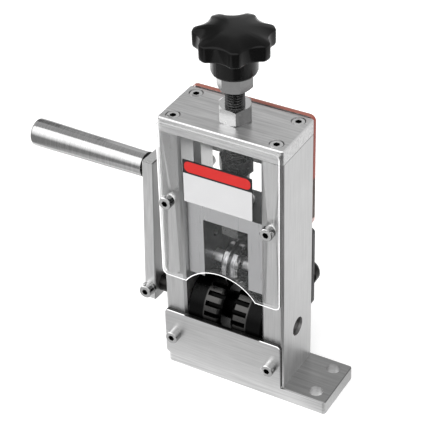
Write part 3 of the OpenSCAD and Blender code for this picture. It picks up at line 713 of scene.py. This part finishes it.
def cut_thread(node_name, pitch, depth, steps):
    """A helical thread as long as the node, flat at both ends.

    The outline's pairs are shares of the depth and of the pitch.
    """
    low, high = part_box(node_name)
    outer = (high.x - low.x) / 2
    turns = math.ceil((high.z - low.z) / pitch) + 2
    bm = bmesh.new()
    start = low.z - pitch
    points = [(outer - depth * cut, 0, start + share * pitch) for cut, share in THREAD_OUTLINE]
    verts, edges = add_loop(bm, points)
    bmesh.ops.spin(
        bm, geom=verts + edges, cent=(0, 0, 0), axis=(0, 0, 1), angle=2 * math.pi * turns,
        steps=steps * turns, dvec=(0, 0, pitch / steps), use_merge=False,
    )
    bmesh.ops.remove_doubles(bm, verts=bm.verts, dist=THREAD_MERGE)
    for height, sign in ((low.z, -1), (high.z, 1)):
        geom = list(bm.verts) + list(bm.edges) + list(bm.faces)
        bmesh.ops.bisect_plane(bm, geom=geom, plane_co=(0, 0, height), plane_no=(0, 0, sign),
                               clear_outer=True)
        rim = [e for e in bm.edges if e.is_boundary
               and all(abs(v.co.z - height) < CUT_REACH for v in e.verts)]
        bmesh.ops.contextual_create(bm, geom=rim)
    bmesh.ops.recalc_face_normals(bm, faces=bm.faces)
    return bm


finish_piece(
    cut_thread("feed_screw", THREAD_PITCH, THREAD_DEPTH, THREAD_STEPS),
    "feed_screw_thread", [finishes["dark_oxide"]], "feed_screw",
)

# %% [markdown]
# ## The star knob
# A moulded knob has no sharp edge. Its outline is a circle with seven round hollows, whose
# corners are softened, and the same outline, scaled ring by ring, climbs the hub, swells
# into the lobes, rolls over the rim and closes under a low dome.

# %% Mould the knob
KNOB_LOBES = 7
KNOB_TURN = math.radians(-60)
KNOB_R = 24.5 * MM
HOLLOW_OUT_SHARE = 1.34
HOLLOW_R_SHARE = 0.5
CORNER_SHARE = 0.06
KNOB_SEGMENTS = KNOB_LOBES * 28
HUB_R = 14.0 * MM
HUB_H = 15.0 * MM


def lobe_radius(angle, radius, lobed):
    """Radius of the outline: lobed 1 has the full hollows, lobed 0 is a plain circle."""
    pitch = 2 * math.pi / KNOB_LOBES
    off = (angle - KNOB_TURN) % pitch - pitch / 2
    reach = HOLLOW_R_SHARE ** 2 - (HOLLOW_OUT_SHARE * math.sin(off)) ** 2
    hollow = HOLLOW_OUT_SHARE * math.cos(off) - math.sqrt(max(reach, 0))
    soft = (1 + hollow - math.sqrt((1 - hollow) ** 2 + CORNER_SHARE ** 2)) / 2
    return radius * (1 + (soft - 1) * lobed)


def mould_knob(node_name):
    """Rings (radius, height, how lobed), from the hub's foot to the top of the dome."""
    low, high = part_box(node_name)
    foot = low.z
    rim = low.z + HUB_H
    crown = high.z
    rings = [
        (0.45 * HUB_R, foot, 0), (HUB_R - 2.0 * MM, foot, 0), (HUB_R - 0.6 * MM, foot + 0.6 * MM, 0),
        (HUB_R, foot + 2.0 * MM, 0), (HUB_R, rim - 1.2 * MM, 0), (HUB_R + 0.4 * MM, rim - 0.3 * MM, 0),
        (HUB_R + 1.4 * MM, rim, 0.1), (KNOB_R - 1.6 * MM, rim, 1), (KNOB_R - 0.45 * MM, rim + 0.45 * MM, 1),
        (KNOB_R, rim + 1.6 * MM, 1), (KNOB_R, rim + 9.4 * MM, 1), (KNOB_R - 0.25 * MM, rim + 10.1 * MM, 1),
        (KNOB_R - 0.9 * MM, rim + 10.6 * MM, 1), (KNOB_R - 3.0 * MM, rim + 11.4 * MM, 0.9),
        (KNOB_R * 0.66, crown - 1.1 * MM, 0.45), (KNOB_R * 0.38, crown - 0.35 * MM, 0.1),
        (KNOB_R * 0.12, crown, 0),
    ]
    bm = bmesh.new()
    made = bmesh.ops.create_circle(bm, cap_ends=False, segments=KNOB_SEGMENTS, radius=1.0)
    loop = made["verts"]
    edges = list(bm.edges)
    for index, (radius, height, lobed) in enumerate(rings):
        if index:
            grown = bmesh.ops.extrude_edge_only(bm, edges=edges)["geom"]
            edges = [g for g in grown if isinstance(g, bmesh.types.BMEdge) and g.is_boundary]
            loop = [g for g in grown if isinstance(g, bmesh.types.BMVert)]
        for v in loop:
            angle = math.atan2(v.co.y, v.co.x)
            r = lobe_radius(angle, radius, lobed)
            v.co = (r * math.cos(angle), r * math.sin(angle), height)
    bmesh.ops.holes_fill(bm, edges=[e for e in bm.edges if e.is_boundary], sides=0)
    bmesh.ops.recalc_face_normals(bm, faces=bm.faces)
    return bm


finish_piece(mould_knob("star_knob"), "star_knob_moulded", [finishes["black_gloss"]], "star_knob",
             smooth_angle=50)

# %% [markdown]
# ## The handle
# The grip is turned from aluminium bar: a spin of one outline, full at the far end and
# slimmer towards the arm, with a rounded end and a recess for the head of its bolt.

# %% Turn the handle
GRIP_STEPS = 64
GRIP_POINTS = 28
CORNER_POINTS = 6
GRIP_NEAR_R = 8.2 * MM
GRIP_WAIST_R = 8.6 * MM
GRIP_FAR_R = 9.2 * MM
WAIST_SHARE = 0.41
GRIP_EDGE = 2.2 * MM
GRIP_LIP = 0.5 * MM
HEAD_BORE_R = 6.7 * MM
HEAD_DEPTH = 9.0 * MM
BOLT_BORE_R = 4.05 * MM


def grip_radius(share):
    """Radius of the grip from the arm, 0, to the far end, 1."""
    if share < WAIST_SHARE:
        return GRIP_WAIST_R + (GRIP_NEAR_R - GRIP_WAIST_R) * (1 + math.cos(math.pi * share / WAIST_SHARE)) / 2
    past = (share - WAIST_SHARE) / (1 - WAIST_SHARE)
    return GRIP_WAIST_R + (GRIP_FAR_R - GRIP_WAIST_R) * (1 - math.cos(math.pi * past)) / 2


def turn_handle(node_name):
    """Spins the grip's outline about its own axis: outside, far face, bore."""
    low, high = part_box(node_name)
    centre = (low + high) / 2
    length = high.x - low.x - GRIP_EDGE - GRIP_LIP
    side = [(high.x - GRIP_LIP - length * k / GRIP_POINTS, grip_radius(k / GRIP_POINTS))
            for k in range(GRIP_POINTS + 1)]
    turns = [math.radians(90 * k / CORNER_POINTS) for k in range(1, CORNER_POINTS + 1)]
    corner = [(low.x + GRIP_EDGE * (1 - math.sin(a)), GRIP_FAR_R - GRIP_EDGE * (1 - math.cos(a)))
              for a in turns]
    outline = [(high.x, BOLT_BORE_R), (high.x, GRIP_NEAR_R - GRIP_LIP)] + side + corner
    outline += [(low.x, HEAD_BORE_R), (low.x + HEAD_DEPTH, HEAD_BORE_R), (low.x + HEAD_DEPTH, BOLT_BORE_R),
                (high.x, BOLT_BORE_R)]
    bm = bmesh.new()
    verts, edges = add_loop(bm, [(x, centre.y, centre.z + r) for x, r in outline])
    spin_full(bm, verts + edges, (0, centre.y, centre.z), (1, 0, 0), GRIP_STEPS)
    return bm


finish_piece(turn_handle("handle_grip"), "handle_turned", [finishes["handle_polish"]], "handle_grip")

# %% [markdown]
# ## Socket screws
# The hexagon sockets lie in shade and look black next to the bright heads, so that shade is
# painted: the screws that show become pieces with a near-black second material inside their
# sockets. The clamp screw leans with the crank, and is set upright while its socket is looked for.

# %% Paint shade in the sockets
SOCKET_R = 2.3 * MM
CRANK_LEAN = math.radians(2.9)


def islands_of(bm):
    """Lists of vertices that hang together."""
    left = set(bm.verts)
    while left:
        heap = [left.pop()]
        island = []
        while heap:
            vert = heap.pop()
            island.append(vert)
            near = {e.other_vert(vert) for e in vert.link_edges} & left
            left -= near
            heap.extend(near)
        yield island


def lean_back(bm, angle):
    """Turns a mesh about the crank shaft, its top to the back."""
    bmesh.ops.rotate(bm, verts=bm.verts, cent=(0, 0, ROLLER_Z), matrix=Matrix.Rotation(-angle, 3, "X"))


def shade_sockets(node_name, axis, lean=0.0):
    """A copy of a set of screws whose socket faces take the near-black material, painted shade in the
    sockets.
    """
    bm = bmesh.new()
    bm.from_mesh(nodes[node_name].data)
    lean_back(bm, -lean)
    bmesh.ops.remove_doubles(bm, verts=bm.verts, dist=MERGE_REACH)
    across = [k for k in range(3) if k != axis]
    for island in islands_of(bm):
        middle = [(min(v.co[k] for v in island) + max(v.co[k] for v in island)) / 2 for k in across]
        inner = {v for v in island if math.hypot(*(v.co[k] - m for k, m in zip(across, middle))) < SOCKET_R}
        for face in {f for v in inner for f in v.link_faces}:
            if all(v in inner for v in face.verts):
                face.material_index = 1
    lean_back(bm, lean)
    bmesh.ops.dissolve_limit(bm, angle_limit=FLAT_ANGLE, verts=bm.verts, edges=bm.edges, delimit={"MATERIAL"})
    finish_piece(bm, f"{node_name}_set", [finishes["bright_plate"], finishes["socket_shade"]], node_name,
                 smooth_angle=30)


shade_sockets("top_screws", 2)
shade_sockets("cover_screws", 1)
shade_sockets("guard_screws", 1)
shade_sockets("clamp_screw", 1, CRANK_LEAN)

# %% [markdown]
# ## Clear covers
# A sheet of clear acrylic is hardly there until light reaches its edge. So the sheet has
# three materials: faces with a low alpha, which let light through as a thin sheet does,
# a polished rim with a painted highlight on the left and painted shade on the right, glowing
# faintly, and a fine white painted glint, glowing faintly below the top, where the front face meets
# the rim. The rim of the rear cover carries a painted reflection of the label that is stuck on it:
# the label's red, then a dark band and a pale pink band lower down.

# %% Write the acrylic materials
CLEAR_ALPHA = (0.01, 0.025)
CLEAR_ROUGH = (0.04, 0.2)
CLEAR_STAINS = 40.0
RIM_RIGHT = (39.5 * MM, 41 * MM)
RIM_SIDE = (40.5 * MM, 39.5 * MM)
RIM_TOP = (184 * MM, 186 * MM)
RIM_LOW = (76.5 * MM, 75.5 * MM)
ARCH_TOP = (100 * MM, 90 * MM)
ARCH_SIDE = (25.5 * MM, 22.5 * MM)
LOW_ALPHA = 0.1
BAND_BLUR = 0.8 * MM


def clear_acrylic():
    """Clear sheet: nearly all of it is see-through, and what is left carries the gloss."""
    material = bpy.data.materials.new("clear_acrylic")
    material.use_nodes = True
    tree = material.node_tree
    shader = tree.nodes["Principled BSDF"]
    shader.inputs["Base Color"].default_value = (0.80, 0.82, 0.82, 1)
    shader.inputs["Specular IOR Level"].default_value = 0.1
    stains = place_group(tree, stain_group, Size=CLEAR_STAINS)
    tree.links.new(ramp_between(tree, stains.outputs["Blotch"], *CLEAR_ALPHA), shader.inputs["Alpha"])
    tree.links.new(ramp_between(tree, stains.outputs["Dust"], *CLEAR_ROUGH), shader.inputs["Roughness"])
    return material


def place_axes(tree):
    """The object coordinates of a point: its X, Y and Z sockets."""
    place = tree.nodes.new("ShaderNodeTexCoord")
    split = tree.nodes.new("ShaderNodeSeparateXYZ")
    tree.links.new(place.outputs["Object"], split.inputs["Vector"])
    return split.outputs


def rim_material(name, left, right, solid, in_arch, glow=0.0, bands=()):
    """A polished rim with a left and a right colour, which may be clearer round the arch.

    The left and right colours are painted light on the clear edge: a painted highlight and painted
    shade on the front cover, a painted reflection of the label on the rear one, and glow makes them
    glow. Each band (height, colour) paints more of that reflection on the rim from its height down.
    """
    material = bpy.data.materials.new(name)
    material.use_nodes = True
    tree = material.node_tree
    shader = tree.nodes["Principled BSDF"]
    axes = place_axes(tree)
    colour = ramp_between(tree, fade_between(tree, axes["X"], *RIM_RIGHT), left, right, colour=True)
    for height, band_colour in bands:
        below = fade_between(tree, axes["Z"], height, height - BAND_BLUR)
        colour = paint_over(tree, below, colour, band_colour)
    if in_arch < solid:
        out = place_part(tree, "X")
        inside = fade_between(tree, out, *RIM_SIDE)
        arch = multiply(tree, fade_between(tree, axes["Z"], *ARCH_TOP), fade_between(tree, out, *ARCH_SIDE))
        top = multiply(tree, fade_between(tree, axes["Z"], *RIM_TOP), inside)
        low = multiply(tree, fade_between(tree, axes["Z"], *RIM_LOW), inside)
        alpha = cover_with(tree, low, ramp_between(tree, arch, solid, in_arch), LOW_ALPHA)
        alpha = cover_with(tree, arch, cover_with(tree, top, alpha, in_arch), in_arch)
        tree.links.new(alpha, shader.inputs["Alpha"])
    tree.links.new(colour, shader.inputs["Base Color"])
    tree.links.new(colour, shader.inputs["Emission Color"])
    shader.inputs["Emission Strength"].default_value = glow
    shader.inputs["Roughness"].default_value = 0.2
    shader.inputs["Specular IOR Level"].default_value = 0.2
    return material


def glint_material():
    """A painted highlight on the polished edge as the front face shows it: white with a faint glow, and
    greyer along the top without one.
    """
    material = bpy.data.materials.new("acrylic_glint")
    material.use_nodes = True
    tree = material.node_tree
    shader = tree.nodes["Principled BSDF"]
    mask = fade_between(tree, place_axes(tree)["Z"], *RIM_TOP)
    colour = ramp_between(tree, mask, grey(0.9), grey(0.5), colour=True)
    tree.links.new(colour, shader.inputs["Base Color"])
    tree.links.new(colour, shader.inputs["Emission Color"])
    shader.inputs["Roughness"].default_value = 0.3
    shader.inputs["Specular IOR Level"].default_value = 0.2
    tree.links.new(ramp_between(tree, mask, 0.15, 0.0), shader.inputs["Emission Strength"])
    return material


finishes["clear_acrylic"] = clear_acrylic()
# Painted highlight on the rim's left, painted shade on its right, with a faint glow.
finishes["front_rim"] = rim_material("front_rim", grey(0.95), grey(0.06), 0.85, 0.05, 0.15)
# Painted reflection of the label on the rear cover's rim: red above, then a dark band and a pale pink band
# lower down.
REAR_REFLECTION_BANDS = [(146 * MM, (0.06, 0.035, 0.03)), (117 * MM, (0.6, 0.42, 0.4))]
finishes["rear_rim"] = rim_material("rear_rim", (0.30, 0.11, 0.085), (0.26, 0.06, 0.045), 1.0, 1.0,
                                    bands=REAR_REFLECTION_BANDS)
finishes["glint"] = glint_material()

# %% Cut the covers
GLINT_WIDTH = 0.55 * MM


def dress_sheet(node_name, rim, piece_name, glint):
    """A copy of the cover's solid with clear faces, a rim, and a glint round the front face."""
    bm = bmesh.new()
    bm.from_mesh(nodes[node_name].data)
    bmesh.ops.remove_doubles(bm, verts=bm.verts, dist=MERGE_REACH)
    bmesh.ops.dissolve_limit(bm, angle_limit=FLAT_ANGLE, verts=bm.verts, edges=bm.edges)
    bm.normal_update()
    for face in bm.faces:
        face.material_index = 0 if abs(face.normal.y) > 0.9 else 1
    if glint:
        front = [f for f in bm.faces if f.normal.y < -0.9]
        ring = bmesh.ops.inset_region(bm, faces=front, thickness=GLINT_WIDTH, use_boundary=True,
                                      use_even_offset=True)["faces"]
        for face in ring:
            face.material_index = 2
    materials = [finishes["clear_acrylic"], rim] + ([finishes["glint"]] if glint else [])
    finish_piece(bm, piece_name, materials, node_name, smooth_angle=30)


dress_sheet("front_cover", finishes["front_rim"], "front_cover_clear", glint=True)
dress_sheet("rear_cover", finishes["rear_rim"], "rear_cover_clear", glint=False)

# %% [markdown]
# ## Printed labels
# The labels are printed film. The front one has bare areas only: a black field, a red band
# with round ends, and a white panel. Each colour is a thin raised layer, as screen printing
# leaves it.

# %% Mix the inks


def ink(name, dark, light):
    """Printing ink on film, with a faint mottle."""
    return plastic(name, dark, light, 0.34, 0.46, 0.06, 500.0, 0.15)


finishes["black_ink"] = ink("black_ink", (0.012, 0.012, 0.013), (0.02, 0.02, 0.022))
finishes["white_ink"] = ink("white_ink", (0.45, 0.45, 0.455), (0.49, 0.49, 0.495))
finishes["red_ink"] = ink("red_ink", (0.42, 0.016, 0.014), (0.48, 0.022, 0.02))

# %% Print the labels
LAYER = 0.05 * MM
FIELD_CORNER = 0.8 * MM
PANEL_CORNER = 0.4 * MM
LINE_CORNER = 0.1 * MM
CORNER_SEGMENTS = 10
FRAME_SHARE = 0.005
PANEL_SHARE = 0.68
BAND_SIDE_SHARE = 0.025
BAND_LOW_SHARE = 0.72
BAND_HIGH_SHARE = 0.965
BAND_ROUND_SHARE = 0.42
REAR_LINE_SHARE = 0.40
REAR_RED_SHARE = 0.44


def add_layer(bm, x_low, x_high, z_low, z_high, y_back, y_front, corner, index):
    """A flat block with rounded upright corners, facing along Y, in the material with that index."""
    made = bmesh.ops.create_cube(bm, size=1.0)
    verts = made["verts"]
    middle = Vector(((x_low + x_high) / 2, (y_back + y_front) / 2, (z_low + z_high) / 2))
    bmesh.ops.scale(bm, vec=(x_high - x_low, abs(y_front - y_back), z_high - z_low), verts=verts)
    bmesh.ops.translate(bm, vec=middle, verts=verts)
    faces = {f for v in verts for f in v.link_faces}
    for face in faces:
        face.material_index = index
    along = [e for e in {e for v in verts for e in v.link_edges}
             if abs((e.verts[0].co - e.verts[1].co).normalized().y) > 0.99]
    bmesh.ops.bevel(bm, geom=along, offset=corner, offset_type="OFFSET", segments=CORNER_SEGMENTS,
                    profile=0.5, affect="EDGES", material=-1)


def print_front_label(node_name):
    """Black field, white panel below, and the red band above."""
    low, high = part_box(node_name)
    bm = bmesh.new()
    face = low.y + 2 * LAYER
    width = high.x - low.x
    height = high.z - low.z
    add_layer(bm, low.x, high.x, low.z, high.z, high.y, face, FIELD_CORNER, 0)
    side = FRAME_SHARE * width
    add_layer(bm, low.x + side, high.x - side, low.z, low.z + PANEL_SHARE * height, face, face - LAYER,
              PANEL_CORNER, 1)
    side = BAND_SIDE_SHARE * width
    band_low = low.z + BAND_LOW_SHARE * height
    band_high = low.z + BAND_HIGH_SHARE * height
    add_layer(bm, low.x + side, high.x - side, band_low, band_high, face, face - LAYER,
              BAND_ROUND_SHARE * (band_high - band_low), 2)
    return bm


def print_rear_label(node_name):
    """White film with a red field above and a black line between, seen from behind."""
    low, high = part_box(node_name)
    bm = bmesh.new()
    face = high.y - LAYER
    height = high.z - low.z
    line_low = low.z + REAR_LINE_SHARE * height
    red_low = low.z + REAR_RED_SHARE * height
    add_layer(bm, low.x, high.x, low.z, high.z, low.y, face, FIELD_CORNER, 1)
    add_layer(bm, low.x, high.x, red_low, high.z, face, high.y, FIELD_CORNER, 2)
    add_layer(bm, low.x, high.x, line_low, red_low, face, high.y, LINE_CORNER, 0)
    return bm


inks = [finishes["black_ink"], finishes["white_ink"], finishes["red_ink"]]
finish_piece(print_front_label("cover_label"), "front_label_print", inks, "cover_label")
finish_piece(print_rear_label("rear_label"), "rear_label_print", inks, "rear_label")
